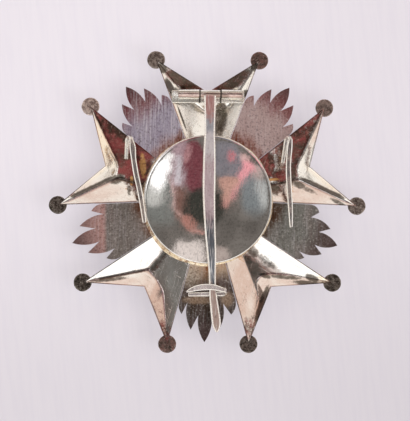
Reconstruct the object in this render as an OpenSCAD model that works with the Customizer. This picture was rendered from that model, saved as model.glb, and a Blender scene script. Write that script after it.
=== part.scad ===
// Breast star of an order, lying on its front with its back upwards.
// Millimetres. The origin is the centre of the star on the surface it lies on, +Z is the back,
// +Y is the hinge end of the pin.

/* [Star] */
// Distance from the centre of the star to the centre of each ball
tip_r = 42.4; // [40:0.1:45]
// Angle between the middle of an arm and each of its two balls
arm_half_angle = 20.3; // [19:0.1:21]
// Distance from the centre to the notch between the two points of an arm
notch_r = 30.6; // [29.5:0.1:32]
// Distance from the centre to the place where the fold of an arm forks
fork_r = 26.7; // [25:0.1:27.5]
// Depth of the pressed trough at the fork
trough_depth = 3.7; // [3:0.1:4]
// Width of the rounded bottom of the trough
trough_round = 5.2; // [2:0.1:6]
// Thickness of the pressed sheet of the arms
arm_t = 0.8; // [0.6:0.05:1]
// Diameter of the half ball on each point
ball_d = 5.2; // [4.6:0.1:5.6]
// Height of the rims of the arms above the surface that the star lies on
rim_z = 6; // [5.8:0.1:6.4]

/* [Fans] */
// Thickness of the flat sheet of the fans
fan_t = 0.7; // [0.5:0.05:0.9]
// Step from the rims of the arms down to the back of the fans
fan_step = 0.35; // [0.2:0.05:0.6]
// Distance from the centre at which the outermost rays leave the arms
fan_edge_r = 29.3; // [28.5:0.1:30]
// Bulge of the outer side of each ray
ray_bulge = 0.75; // [0.2:0.05:1]

/* [Centre] */
// Diameter of the polished back disc over its rolled edge
disc_d = 36.6; // [36:0.1:37]
// Rise of the dome of the back disc
dome_rise = 1.6; // [1:0.1:1.8]
// Outer diameter of the collar that the arms and fans are soldered to
collar_d = 34.8; // [34:0.1:35]
// Wall thickness of the collar
collar_t = 1.2; // [1:0.1:2]
// Thickness of the domed sheet of the back disc
disc_t = 0.8; // [0.6:0.1:1]
// Thickness of the plain medallion on the front
medallion_t = 1.2; // [1:0.1:1.6]

/* [Pin and hinge] */
// Diameter of the two fixed knuckles
knuckle_d = 2.6; // [2.4:0.1:2.8]
// Diameter of the knuckle of the pin
pin_knuckle_d = 2.3; // [2.1:0.1:2.4]
// Diameter of the hinge rod
rod_d = 1.1; // [0.9:0.05:1.2]
// Distance of the hinge axis from the centre of the star
hinge_y = 29.8; // [29.6:0.1:30]
// Thickness of the blade of the pin
blade_t = 0.9; // [0.7:0.05:1]

/* [Hooks] */
// Thickness of the strip that the side hooks are bent from
hook_t = 0.8; // [0.6:0.05:0.9]
// Height of the middle of the side hooks above the surface that the star lies on
hook_z = 8.5; // [8.3:0.1:9]
// Thickness of the strip that the catch is bent from
catch_t = 0.7; // [0.5:0.05:0.8]
// Height of the middle of the catch's upper limb above that surface
catch_z = 8.1; // [8.05:0.05:8.4]

/* [Hidden] */
$fn = 96;

silver = "silver";
toned_silver = "#b9a9a6";
dark_silver = "#8d8782";

arms = 5;
arm_step = 360 / arms;
seat_gap = 0.15; // between the collar and what is soldered to it
edge_gap = 0.12; // between an arm's rim and the fan beside it
face_gap = 0.05; // under strips that are soldered down flat
collar_r = collar_d / 2;
root_r = collar_r + seat_gap;
tip = [tip_r * sin(arm_half_angle), tip_r * cos(arm_half_angle)];
notch = [0, notch_r];
fork = [0, fork_r];
fan_z = rim_z - fan_step;
collar_top = rim_z + 0.6;

// Helpers
function mix(a, b, share) = a + (b - a) * share;
function polar(r, angle) = [r * sin(angle), r * cos(angle)];
function unit(v) = v / norm(v);
// |x| with a round bottom of the given width
function round_abs(x, width) =
    let (half = width / 2) abs(x) >= half ? abs(x) : (x * x / half + half) / 2;
// The smaller of a and b, with a round corner that fades out where either is nought
function round_min(a, b, corner) =
    let (k = min(corner, 0.8 * (a + b)), h = k > 0 ? max(k - abs(a - b), 0) / k : 0)
    min(a, b) - h * h * k / 4;

// A sheet from a grid of points on its back, with a vertical thickness
module grid_sheet(grid, thickness) {
    rows = len(grid);
    columns = len(grid[0]);
    count = rows * columns;
    top = [for (row = grid, p = row) p];
    bottom = [for (p = top) p - [0, 0, thickness]];
    function at(i, j) = i * columns + j;
    faces = [
        for (i = [0:rows - 2], j = [0:columns - 2]) each [
            [at(i, j), at(i + 1, j), at(i + 1, j + 1)],
            [at(i, j), at(i + 1, j + 1), at(i, j + 1)],
            [count + at(i, j), count + at(i + 1, j + 1), count + at(i + 1, j)],
            [count + at(i, j), count + at(i, j + 1), count + at(i + 1, j + 1)]
        ],
        for (i = [0:rows - 2], j = [0, columns - 1])
            let (a = at(i, j), b = at(i + 1, j))
            each j == 0
                ? [[a, count + a, count + b], [a, count + b, b]]
                : [[a, b, count + b], [a, count + b, count + a]],
        for (j = [0:columns - 2], i = [0, rows - 1])
            let (a = at(i, j), b = at(i, j + 1))
            each i == 0
                ? [[a, b, count + b], [a, count + b, count + a]]
                : [[a, count + a, count + b], [a, count + b, b]]
    ];
    polyhedron(concat(top, bottom), faces);
}

// A strip bent along a path. Each row of the path is [x, y, z, width], and across is the
// level direction that the width is measured in.
module bent_strip(path, thickness, across) {
    chamfer = 0.25 * thickness;
    last = len(path) - 1;
    function place(i) = [for (k = [0:2]) path[i][k]];
    function ring(i) =
        let (
            along = unit(place(min(i + 1, last)) - place(max(i - 1, 0))),
            side = unit(across - along * (across * along)),
            up = cross(along, side),
            half_w = path[i][3] / 2,
            half_t = thickness / 2
        )
        [for (c = [
            [half_w - chamfer, half_t], [half_w, half_t - chamfer],
            [half_w, chamfer - half_t], [half_w - chamfer, -half_t],
            [chamfer - half_w, -half_t], [-half_w, chamfer - half_t],
            [-half_w, half_t - chamfer], [chamfer - half_w, half_t]
        ]) place(i) + side * c[0] + up * c[1]];
    sides = 8;
    points = [for (i = [0:last], p = ring(i)) p];
    faces = [
        for (i = [0:last - 1], j = [0:sides - 1])
            let (a = i * sides + j, b = i * sides + (j + 1) % sides)
            each [[a, b, b + sides], [a, b + sides, a + sides]],
        [for (j = [sides - 1:-1:0]) j],
        [for (j = [0:sides - 1]) last * sides + j]
    ];
    polyhedron(points, faces);
}

// Arms
// Depth of the trough below the rim at a place on the arm, the arm's middle being x = 0
along_notch = unit(tip - notch);
outer_slope = trough_depth / (fork_r * sin(arm_half_angle));
notch_slope = trough_depth / (along_notch[0] * (notch_r - fork_r));
trough_corner = 1.4;
function trough(p) =
    let (
        outer = p[1] * sin(arm_half_angle) - round_abs(p[0], trough_round) * cos(arm_half_angle),
        inner = along_notch[1] * abs(p[0]) - along_notch[0] * (p[1] - notch_r)
    )
    max(0, round_min(outer_slope * max(0, outer), notch_slope * max(0, inner), trough_corner));

// Lines across one point of the arm, from its notch edge over the fold to its root or outer edge
ROOT_SHARE = 0; // share of the way round the root
EDGE_SHARE = 1; // share of the way along the outer edge
POINT_SHARE = 2; // share of the way along the fold and the notch edge
arm_lines = [
    [0, 0, 0],
    [0.2, 0, 0.05],
    [0.45, 0, 0.12],
    [0.75, 0, 0.22],
    [1, 0, 0.33],
    [1, 0.3, 0.46],
    [1, 0.52, 0.6],
    [1, 0.7, 0.73],
    [1, 0.84, 0.85],
    [1, 0.93, 0.93],
    [1, 0.975, 0.975]
];
notch_side = [0, 0.5];
outer_side = [0, 0.14, 0.32, 0.6, 1];
function arm_line(row, side) =
    let (
        flip = [side, 1],
        inner = mix(notch, tip, row[POINT_SHARE]),
        fold = mix(fork, tip, row[POINT_SHARE]),
        outer = mix(polar(root_r, arm_half_angle * row[ROOT_SHARE]), tip, row[EDGE_SHARE]),
        line = concat(
            [for (s = notch_side) mix(inner, fold, s)],
            [for (s = outer_side) mix(fold, outer, s)]
        )
    )
    [for (p = line) [p[0] * flip[0], p[1], rim_z - trough(p)]];

module arm_sheet() {
    last = len(arm_lines) - 1;
    grid = [
        for (i = [last:-1:1]) arm_line(arm_lines[i], -1),
        for (i = [0:last]) arm_line(arm_lines[i], 1)
    ];
    grid_sheet(grid, arm_t);
}

// A half ball, flat at the back, cut out where the trough runs into it
ball_flat_z = rim_z - 0.2;
module half_ball(side) {
    centre = [side * tip[0], tip[1]];
    cut_z = rim_z - arm_t + 0.15;
    cut_length = 0.3;
    inset = 0.15;
    difference() {
        translate([centre[0], centre[1], ball_flat_z]) intersection() {
            sphere(d = ball_d);
            translate([-ball_d, -ball_d, -ball_d]) cube([2 * ball_d, 2 * ball_d, ball_d]);
        }
        translate([0, 0, cut_z]) linear_extrude(arm_t + 1) offset(delta = -inset) polygon([
            centre,
            mix(centre, polar(root_r, side * arm_half_angle), cut_length),
            mix(centre, notch, cut_length)
        ]);
    }
}

module arm(number) {
    color(silver) rotate([0, 0, -(number - 1) * arm_step]) {
        arm_sheet();
        half_ball(-1);
        half_ball(1);
    }
}

// Fans of rays between the arms
TIP_R = 0; // distance of the ray's tip from the centre
TIP_ANGLE = 1; // its angle from the middle of the fan
FOOT_R = 2; // distance of the outer foot of the ray
FOOT_ANGLE = 3; // and its angle
TIP_TURN = 4; // share of the fan's turn that the tip takes
FOOT_TURN = 5; // and the foot
BULGE = 6; // share of the bulge of its outer side
rays = [
    [39.6, 0, 32.8, 3.3, 1, 1, 1],
    [36.4, 6.1, 29.7, 9.8, 1, 1, 1],
    [32.5, 12.2, fan_edge_r, fan_half_angle(fan_edge_r), 0.5, 0, 0.8]
];
fan_turns = [0, 1.4, 1.4, 0, 0]; // how far the rays of each fan are turned clockwise
fan_reaches = [0, -0.6, 0.7, 0.6, 0]; // how much longer the rays of each fan are
function fan_half_angle(r) = arm_step / 2 - arm_half_angle - asin(edge_gap / r);
side_steps = 6;
function ray_side(ray, turn, reach) =
    let (
        from = polar(ray[TIP_R] + reach, ray[TIP_ANGLE] + ray[TIP_TURN] * turn),
        to = polar(ray[FOOT_R], ray[FOOT_ANGLE] + ray[FOOT_TURN] * turn),
        way = unit(to - from),
        pull = (from + to) / 2 + [-way[1], way[0]] * 2 * ray_bulge * ray[BULGE]
    )
    [for (k = [0:side_steps])
        let (s = k / side_steps) mix(mix(from, pull, s), mix(pull, to, s), s)];
fan_inner_r = root_r - 2;
function fan_half(turn, reach) = concat(
    [for (ray = rays) each ray_side(ray, turn, reach)],
    [polar(fan_inner_r, fan_half_angle(fan_inner_r))]
);

module ray_fan(number) {
    turn = fan_turns[number - 1];
    reach = fan_reaches[number - 1];
    right = fan_half(turn, reach);
    left = fan_half(-turn, reach);
    last = len(left) - 1;
    outline = concat(right, [for (i = [last:-1:1]) [-left[i][0], left[i][1]]]);
    color(toned_silver) rotate([0, 0, -(number - 0.5) * arm_step])
        translate([0, 0, fan_z - fan_t]) difference() {
            linear_extrude(fan_t) polygon(outline);
            translate([0, 0, -1]) cylinder(r = root_r, h = fan_t + 2);
        }
}

// Centre
module ring(outer_r, inner_r, height) {
    difference() {
        cylinder(r = outer_r, h = height);
        translate([0, 0, -1]) cylinder(r = inner_r, h = height + 2);
    }
}

module collar() {
    color(dark_silver) translate([0, 0, medallion_t])
        ring(collar_r, collar_r - collar_t, collar_top - medallion_t);
}

flange_t = 0.6;
edge_roll_r = 0.4;
disc_r = disc_d / 2;
dome_r = disc_r - 1.5 * edge_roll_r;
dome_z = collar_top + flange_t;
dome_radius = (dome_r * dome_r + dome_rise * dome_rise) / (2 * dome_rise);
module back_disc() {
    color(silver) {
        difference() {
            intersection() {
                translate([0, 0, dome_z + dome_rise - dome_radius]) sphere(dome_radius, $fn = 200);
                translate([0, 0, collar_top]) cylinder(r = dome_r, h = 5);
            }
            translate([0, 0, dome_z + dome_rise - dome_radius])
                sphere(dome_radius - disc_t, $fn = 200);
        }
        translate([0, 0, collar_top]) ring(dome_r, collar_r - collar_t, flange_t);
        translate([0, 0, dome_z - edge_roll_r]) rotate_extrude()
            translate([disc_r - edge_roll_r, 0]) circle(edge_roll_r, $fn = 32);
    }
}

// Plain front, hidden in use by the surface that the star lies on
medallion_r = collar_r + 0.4;
medallion_ring_w = 2.1;
medallion_recess = 0.5; // from the ring's face in to the edge of the domed middle
medallion_rise = 0.35; // of the domed middle towards the front
dome_steps = 8;
module front_medallion() {
    inner_r = medallion_r - medallion_ring_w;
    dome = [for (k = [0:dome_steps])
        let (s = k / dome_steps)
        [inner_r * s, medallion_recess - medallion_rise * (1 - s * s)]];
    color(silver) rotate_extrude() polygon(concat(
        dome,
        [[inner_r, 0], [medallion_r, 0], [medallion_r, medallion_t], [0, medallion_t]]
    ));
}

// Hinge
plate_t = 0.6;
plate_w = 3.6;
plate_half = 10.3;
plate_y = 27.4;
plate_z = rim_z + face_gap;
axis_sink = 0.1; // how far the fixed knuckles are let into the solder on the plate
axis_z = plate_z + plate_t + knuckle_d / 2 - axis_sink;
knuckle_span = [-8.5, 9.6]; // ends of the whole hinge along X
pin_knuckle_span = [-2.3, 3.5]; // ends of the pin's knuckle
knuckle_gap = 0.15;
running_gap = 0.05;
module lying_tube(span, outer_d, inner_d) {
    translate([span[0], hinge_y, axis_z]) rotate([0, 90, 0]) difference() {
        cylinder(d = outer_d, h = span[1] - span[0]);
        translate([0, 0, -1]) cylinder(d = inner_d, h = span[1] - span[0] + 2);
    }
}

module hinge_plate() {
    bore_d = rod_d + 2 * running_gap;
    color(silver) {
        translate([-plate_half, plate_y, plate_z]) cube([2 * plate_half, plate_w, plate_t]);
        lying_tube([knuckle_span[0], pin_knuckle_span[0] - knuckle_gap], knuckle_d, bore_d);
        lying_tube([pin_knuckle_span[1] + knuckle_gap, knuckle_span[1]], knuckle_d, bore_d);
    }
}

module hinge_rod() {
    color(dark_silver) translate([knuckle_span[0], hinge_y, axis_z]) rotate([0, 90, 0])
        cylinder(d = rod_d, h = knuckle_span[1] - knuckle_span[0]);
}

module pin_knuckle() {
    color(silver) lying_tube(pin_knuckle_span, pin_knuckle_d, rod_d + 2 * running_gap);
}

// Pin, a springy blade that rises over the back disc and dips into the catch: x, y, z, width
blade_path = [
    [0.5, 29.6, 8.55, 3.4],
    [0.45, 26, 8.68, 3.2],
    [0.4, 19, 9.05, 2.9],
    [0.3, 14, 9.3, 3.3],
    [0.2, 7, 9.52, 3.5],
    [0.15, 0, 9.6, 3.4],
    [0.45, -8.5, 9.4, 3],
    [0.75, -13, 9.05, 2.75],
    [1, -17.5, 8.42, 2.35],
    [1.15, -21.5, 7.45, 2.05],
    [1.25, -24.6, 6.98, 2],
    [1.5, -28, 6.9, 2.25],
    [2.2, -33.8, 6.95, 2.6],
    [2.4, -35.9, 6.95, 2.2],
    [2.5, -37.6, 6.95, 0.7]
];
module pin_blade() {
    color(silver) difference() {
        bent_strip(blade_path, blade_t, [1, 0, 0]);
        translate([-5, hinge_y, axis_z]) rotate([0, 90, 0])
            cylinder(d = pin_knuckle_d + 2 * face_gap, h = 12);
    }
}

// A half turn from a lower limb to an upper one, as rows of a path.
// The limbs end at from and to, and out is the level direction in which the turn bulges.
function half_turn(from, to, out, width, steps = 8) =
    let (r = (to[2] - from[2]) / 2)
    [for (k = [0:steps])
        let (a = 180 * k / steps, p = mix(from, to, (1 - cos(a)) / 2) + out * r * sin(a))
        [p[0], p[1], from[2] + r * (1 - cos(a)), width]];

// Catch, a hairpin hook open at its left end, with the pin between its limbs: x, y, width
catch_foot_z = fan_z + face_gap + catch_t / 2;
catch_foot = [[-5.4, -26.9, 1.1], [4, -26.7, 1.3]];
catch_limb = [
    [4, -25.6, 1.5],
    [1.6, -24.95, 1.6],
    [-1, -24.85, 1.75],
    [-3.6, -25.25, 1.5],
    [-5.3, -25.85, 0.95],
    [-6, -26.15, 0.5]
];
module catch_hook() {
    foot_end = catch_foot[len(catch_foot) - 1];
    path = concat(
        [[catch_foot[0][0], catch_foot[0][1], catch_foot_z, catch_foot[0][2]]],
        half_turn([foot_end[0], foot_end[1], catch_foot_z],
            [catch_limb[0][0], catch_limb[0][1], catch_z], [1, 0, 0], foot_end[2]),
        [for (i = [1:len(catch_limb) - 1]) [catch_limb[i][0], catch_limb[i][1], catch_z, catch_limb[i][2]]]
    );
    color(silver) bent_strip(path, catch_t, [0, 1, 0]);
}

// Side hooks. The foot lies in the arm's trough and the limb runs free over the back: x, y, width
left_foot = [[-23.1, 11.6, 1.1], [-22.9, 16.4, 1.2]];
left_limb = [
    [-21.7, 16.4, 1.9],
    [-21.35, 14.3, 1.8],
    [-21.1, 11.4, 1.5],
    [-20.45, 7.2, 1.5],
    [-19.5, 2.9, 1.45],
    [-18.75, -1.3, 1.35],
    [-18.15, -5.5, 1.2],
    [-18, -6.6, 1.05]
];
right_foot = [[21.3, 10.6, 1.1], [22.2, 16.6, 1.2]];
right_limb = [
    [23.25, 16.6, 1.7],
    [23, 14.3, 1.55],
    [22.65, 10, 1.45],
    [22.7, 5.8, 1.5],
    [22.95, 1.5, 1.5],
    [23.2, -2.7, 1.35],
    [23.35, -7, 1],
    [23.4, -7.8, 0.85]
];

// Height of the middle of a foot that lies on the outer slope of an arm at the given angle
function foot_z(p, arm_angle) =
    let (c = cos(arm_angle), s = sin(arm_angle),
        on_arm = [p[0] * c - p[1] * s, p[0] * s + p[1] * c],
        lean = 0.3)
    rim_z - trough(on_arm) + hook_t / 2 + lean;

module side_hook(foot, limb, arm_angle) {
    foot_end_z = foot_z(foot[1], arm_angle);
    path = concat(
        [[foot[0][0], foot[0][1], foot_z(foot[0], arm_angle), foot[0][2]]],
        half_turn([foot[1][0], foot[1][1], foot_end_z], [limb[0][0], limb[0][1], hook_z],
            [0, 1, 0], foot[1][2]),
        [for (i = [1:len(limb) - 1]) [limb[i][0], limb[i][1], hook_z, limb[i][2]]]
    );
    color(silver) bent_strip(path, hook_t, [1, 0, 0]);
}

arm(1);  // arm_1
arm(2);  // arm_2
arm(3);  // arm_3
arm(4);  // arm_4
arm(5);  // arm_5
ray_fan(1);  // ray_fan_1
ray_fan(2);  // ray_fan_2
ray_fan(3);  // ray_fan_3
ray_fan(4);  // ray_fan_4
ray_fan(5);  // ray_fan_5
collar();
back_disc();
front_medallion();
hinge_plate();
hinge_rod();
pin_knuckle();
pin_blade();
catch_hook();
side_hook(left_foot, left_limb, -arm_step);  // side_hook_left
side_hook(right_foot, right_limb, arm_step);  // side_hook_right
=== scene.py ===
"""Breast star of an order, lying on its front. Sizes in the lists are millimetres."""
from math import atan2, cos, degrees, exp, hypot, pi, radians, sin, sqrt

import bmesh
import bpy
from mathutils import Matrix, Vector, noise


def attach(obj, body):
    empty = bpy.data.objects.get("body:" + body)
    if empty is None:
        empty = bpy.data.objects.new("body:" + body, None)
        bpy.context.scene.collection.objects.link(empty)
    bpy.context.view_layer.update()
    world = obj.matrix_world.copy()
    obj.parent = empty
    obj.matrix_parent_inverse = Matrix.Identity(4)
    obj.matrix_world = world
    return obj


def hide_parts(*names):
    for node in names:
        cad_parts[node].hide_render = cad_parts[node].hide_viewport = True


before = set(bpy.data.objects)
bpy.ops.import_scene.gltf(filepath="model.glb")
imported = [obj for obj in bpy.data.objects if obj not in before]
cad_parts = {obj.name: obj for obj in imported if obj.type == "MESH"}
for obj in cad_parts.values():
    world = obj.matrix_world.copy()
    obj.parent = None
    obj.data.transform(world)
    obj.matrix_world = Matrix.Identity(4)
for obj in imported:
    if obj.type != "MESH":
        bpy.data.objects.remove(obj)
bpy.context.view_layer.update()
MM = 0.001
ARMS = 5
ARM_STEP = 360 / ARMS

# The same values as the frame's solids
TIP_R = 42.4
ARM_HALF_ANGLE = 20.3
NOTCH_R = 30.6
FORK_R = 26.7
ARM_T = 0.8
RIM_Z = 6
FAN_Z = 5.65
BALL_R = 2.6
BALL_FLAT_Z = 5.8
COLLAR_R = 17.4
ROOT_R = 17.55
COLLAR_INNER_R = 16.2
COLLAR_TOP = 6.6
DOME_PEAK_Z = 8.8
DOME_RADIUS = 98.7
DISC_T = 0.8
AXIS_Y = 29.8
AXIS_Z = 7.85
TUBE_R = 1.3
PIN_TUBE_R = 1.15
TUBE_BORE_R = 0.6
HOOK_T = 0.8
HOOK_Z = 8.5
CATCH_T = 0.7

LAND = 0.26  # flat width along the rims of an arm
FACET_R = 26  # how far out an outer facet's reach is given
STRIP_SIDES = 12  # sides of a strip's cross-section
END_WIDTH = 0.8  # shares of a strip's width and thickness at its very ends
END_THICKNESS = 0.55

SIN_A = sin(radians(ARM_HALF_ANGLE))
COS_A = cos(radians(ARM_HALF_ANGLE))
TIP = (TIP_R * SIN_A, TIP_R * COS_A)


def mix(a, b, share):
    return a + (b - a) * share


def mix_points(a, b, share):
    return tuple(mix(p, q, share) for p, q in zip(a, b))


def smooth_step(value, low, high):
    share = min(1, max(0, (value - low) / (high - low)))
    return share * share * (3 - 2 * share)


def polar(r, turn):
    angle = radians(turn)
    return r * sin(angle), r * cos(angle)


def turned(p, turn):
    """A point turned clockwise about the star's centre."""
    angle = radians(turn)
    c, s = cos(angle), sin(angle)
    return p[0] * c + p[1] * s, p[1] * c - p[0] * s


def lumps(x, y, size, seed):
    """Soft noise from about -1 to 1."""
    return noise.noise(Vector((x / size, y / size, seed * 7.31)))


# The way along a notch edge, from its inner corner to the ball on the right
NOTCH_WAY = Vector((TIP[0], TIP[1] - NOTCH_R)).normalized()

# How each arm was pressed. left and right are its outer facets: the slope in from the edge, how far
# that goes at FACET_R from the centre, how much further it goes for each mm outwards, the slope
# from there on and the roundness between. notch gives the slope in from the notch edges at places
# across the arm, and folds the roundness of the fold there, on the left and right point. valley is
# the roundness of the fold between the facets and fork that of the fold round the notch. bands and
# crease are painted shade, dark lines in the folds of the left point, the right point and the middle:
# the place across the fold, reach and strength.
PLAIN = (99, 0, 0, 0.01)
NO_BAND = (0, 1, 0)
ARM_COLUMNS = ("left", "right", "notch", "folds", "valley", "fork", "bands", "crease")
ARM_SHAPES = [dict(zip(ARM_COLUMNS, row)) for row in (
    ((0.5, *PLAIN), (0.58, 3.8, 0.2, 0.37, 0.12), [(-7, 0.56), (0, 0.9), (7, 0.28)], (0.35, 0.25),
     0.12, 1.5, (NO_BAND, NO_BAND), NO_BAND),
    ((0.3, *PLAIN), (0.47, *PLAIN), [(-2.5, 0.66), (2.5, 0.79)], (0.6, 0.85),
     0.45, 3.4, ((-0.1, 0.35, 0.4), (0.6, 0.8, 1)), (0.1, 0.45, 0.8)),
    ((0.44, 5, 0.05, 0.04, 1), (0.42, *PLAIN), [(-2, 0.7), (2, 0.6), (5.5, 1.5)], (0.35, 0.12),
     0.08, 2.2, ((-0.2, 0.5, 0.35), NO_BAND), NO_BAND),
    ((0.27, *PLAIN), (0.44, *PLAIN), [(-6, 0.31), (1, 0.64)], (0.05, 0.7),
     0.5, 3, (NO_BAND, (0.05, 0.5, 0.85)), (-0.6, 1, 0.62)),
    ((0.47, *PLAIN), (0.3, *PLAIN), [(-2.5, 0.79), (2.5, 0.62)], (0.85, 0.6),
     0.5, 3.4, ((0.6, 0.8, 1), (-0.1, 0.35, 0.4)), (-0.1, 0.45, 0.8)),
)]


def along(stops, place):
    """A value between those given at several places, in a smooth line."""
    for (low, first), (high, second) in zip(stops, stops[1:]):
        if place < high:
            return mix(first, second, smooth_step(place, low, high))
    return stops[-1][1]


def round_min(a, b, corner):
    """The smaller of two depths with a round corner, which fades out where either is nought."""
    corner = min(corner, 0.8 * (a + b))
    near = max(corner - abs(a - b), 0) / corner if corner > 0 else 0
    return min(a, b) - near * near * corner / 4


def facet(distance, out, slope, reach, lean, far_slope, corner):
    """Depth of an outer facet at a distance in from its edge and so far out from the centre."""
    distance = max(0, distance - LAND)
    reach += lean * (out - FACET_R)
    return round_min(slope * distance, (slope - far_slope) * reach + far_slope * distance, corner)


def depths(x, y, shape):
    """Depths at a place on an arm, from its left, right and notch edges."""
    from_left = facet(y * SIN_A + x * COS_A, y, *shape["left"])
    from_right = facet(y * SIN_A - x * COS_A, y, *shape["right"])
    fork = shape["fork"] * min(1, max(0.02, (NOTCH_R - y) / 4))
    side = abs(x) if abs(x) >= fork else (x * x / fork + fork) / 2
    inner = NOTCH_WAY.y * side - NOTCH_WAY.x * (y - NOTCH_R)
    return from_left, from_right, along(shape["notch"], x) * max(0, inner - LAND)


def trough(x, y, shape):
    from_left, from_right, notch = depths(x, y, shape)
    outer = round_min(from_left, from_right, shape["valley"])
    return max(0, round_min(outer, notch, mix(*shape["folds"], smooth_step(x, -2, 2))))


def back_height(x, y):
    """Height of the back of the arms and fans under a place near the centre."""
    angle = degrees(atan2(x, y)) % 360
    number = round(angle / ARM_STEP) % ARMS
    off_arm = angle - round(angle / ARM_STEP) * ARM_STEP
    if abs(off_arm) > ARM_HALF_ANGLE:
        return FAN_Z
    px, py = polar(hypot(x, y), off_arm)
    return RIM_Z - trough(px, py, ARM_SHAPES[number])


def add_object(name, data):
    item = bpy.data.objects.new(name, data)
    bpy.context.scene.collection.objects.link(item)
    return item


def make_piece(name, points, faces, materials, body="star", stands_for=(),
               sharp=34, face_materials=None, attributes=None):
    mesh = bpy.data.meshes.new(name)
    mesh.from_pydata([Vector(p) * MM for p in points], [], faces)
    for material in materials:
        mesh.materials.append(material)
    if face_materials:
        mesh.polygons.foreach_set("material_index", face_materials)
    for key, values in (attributes or {}).items():
        layer = mesh.attributes.new(key, "FLOAT", "POINT")
        layer.data.foreach_set("value", values)
    work = bmesh.new()
    work.from_mesh(mesh)
    bmesh.ops.recalc_face_normals(work, faces=work.faces)
    work.to_mesh(mesh)
    work.free()
    mesh.polygons.foreach_set("use_smooth", [True] * len(mesh.polygons))
    mesh.set_sharp_from_angle(angle=radians(sharp))
    piece = add_object(name, mesh)
    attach(piece, body)
    if stands_for:
        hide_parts(*stands_for)
    return piece


def joined(parts):
    """One list of points and faces from several."""
    points, faces = [], []
    for part_points, part_faces in parts:
        start = len(points)
        points += part_points
        faces += [tuple(i + start for i in face) for face in part_faces]
    return points, faces


def ring_faces(rings, count, closed=False):
    """Faces between rings of so many points each, which follow one another in the list of points."""
    faces = []
    for i in range(rings if closed else rings - 1):
        onward = ((i + 1) % rings - i) * count
        for j in range(count):
            a, b = i * count + j, i * count + (j + 1) % count
            faces.append((a, b, b + onward, a + onward))
    return faces


def revolve(profile, segments, closed=False, place=None):
    """Turns (radius, height) points. place(r, h, angle) gives the point; a radius of nought is a pole."""
    place = place or (lambda r, h, a: (r * cos(a), r * sin(a), h))
    points, rings = [], []
    for r, h in profile:
        if r == 0:
            rings.append([len(points)] * segments)
            points.append(place(0, h, 0))
        else:
            rings.append(list(range(len(points), len(points) + segments)))
            points += [place(r, h, 2 * pi * k / segments) for k in range(segments)]
    faces = []
    pairs = list(zip(rings, rings[1:])) + ([(rings[-1], rings[0])] if closed else [])
    for low, high in pairs:
        for k in range(segments):
            corners = (low[k], low[(k + 1) % segments], high[(k + 1) % segments], high[k])
            kept = tuple(dict.fromkeys(corners))
            if len(kept) > 2:
                faces.append(kept)
    return points, faces


def smooth_rows(rows, steps):
    """Rows of numbers with smooth rows between them."""
    out = []
    last = len(rows) - 1
    for i in range(last):
        before, here, there, after = (rows[max(i - 1, 0)], rows[i], rows[i + 1], rows[min(i + 2, last)])
        for k in range(steps):
            t = k / steps
            out.append(tuple(
                0.5 * (2 * b + (c - a) * t + (2 * a - 5 * b + 4 * c - d) * t * t
                       + (3 * b - a - 3 * c + d) * t ** 3)
                for a, b, c, d in zip(before, here, there, after)))
    out.append(tuple(rows[last]))
    return out


def strip_section(width, thickness, bevel_w, bevel_h):
    """The cross-section of a strip with sloping or rounded edges, as (across, up)."""
    w, t = width / 2, thickness / 2
    bevel_w, bevel_h = min(bevel_w, 0.8 * w), min(bevel_h, 0.8 * t)
    corner = [(w - bevel_w, t), (w - 0.3 * bevel_w, t - 0.55 * bevel_h), (w, t - bevel_h)]
    right = corner + [(x, -y) for x, y in reversed(corner)]
    return right + [(-x, y) for x, y in reversed(right)]


def strip_end(row, inner_row, length):
    """A smaller row beyond the last one of a strip, which rounds the strip off."""
    x, y, z, width, thickness = row
    outwards = (Vector((x, y, z)) - Vector(inner_row[:3])).normalized()
    return (*(Vector((x, y, z)) + outwards * length), width * END_WIDTH, thickness * END_THICKNESS)


def strip(rows, across, bevel_w, bevel_h, end=0.18):
    """A strip along rows of (x, y, z, width, thickness), with rounded ends."""
    rows = [strip_end(rows[0], rows[1], end), *rows, strip_end(rows[-1], rows[-2], end)]
    points = []
    last = len(rows) - 1
    for i, row in enumerate(rows):
        ahead = (Vector(rows[min(i + 1, last)][:3]) - Vector(rows[max(i - 1, 0)][:3])).normalized()
        side = (across - ahead * across.dot(ahead)).normalized()
        up = ahead.cross(side)
        section = strip_section(row[3], row[4], bevel_w, bevel_h)
        points += [Vector(row[:3]) + side * a + up * b for a, b in section]
    faces = ring_faces(len(rows), STRIP_SIDES)
    faces.append(tuple(range(STRIP_SIDES)))
    faces.append(tuple(range(last * STRIP_SIDES, len(points))))
    return points, faces


def edge_faces(faces, flats=(5, 11)):
    """Material numbers for a strip's faces: 0 for the flats named and the ends, 1 for the rest."""
    return [0 if i % STRIP_SIDES in flats or len(face) > 4 else 1 for i, face in enumerate(faces)]


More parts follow.
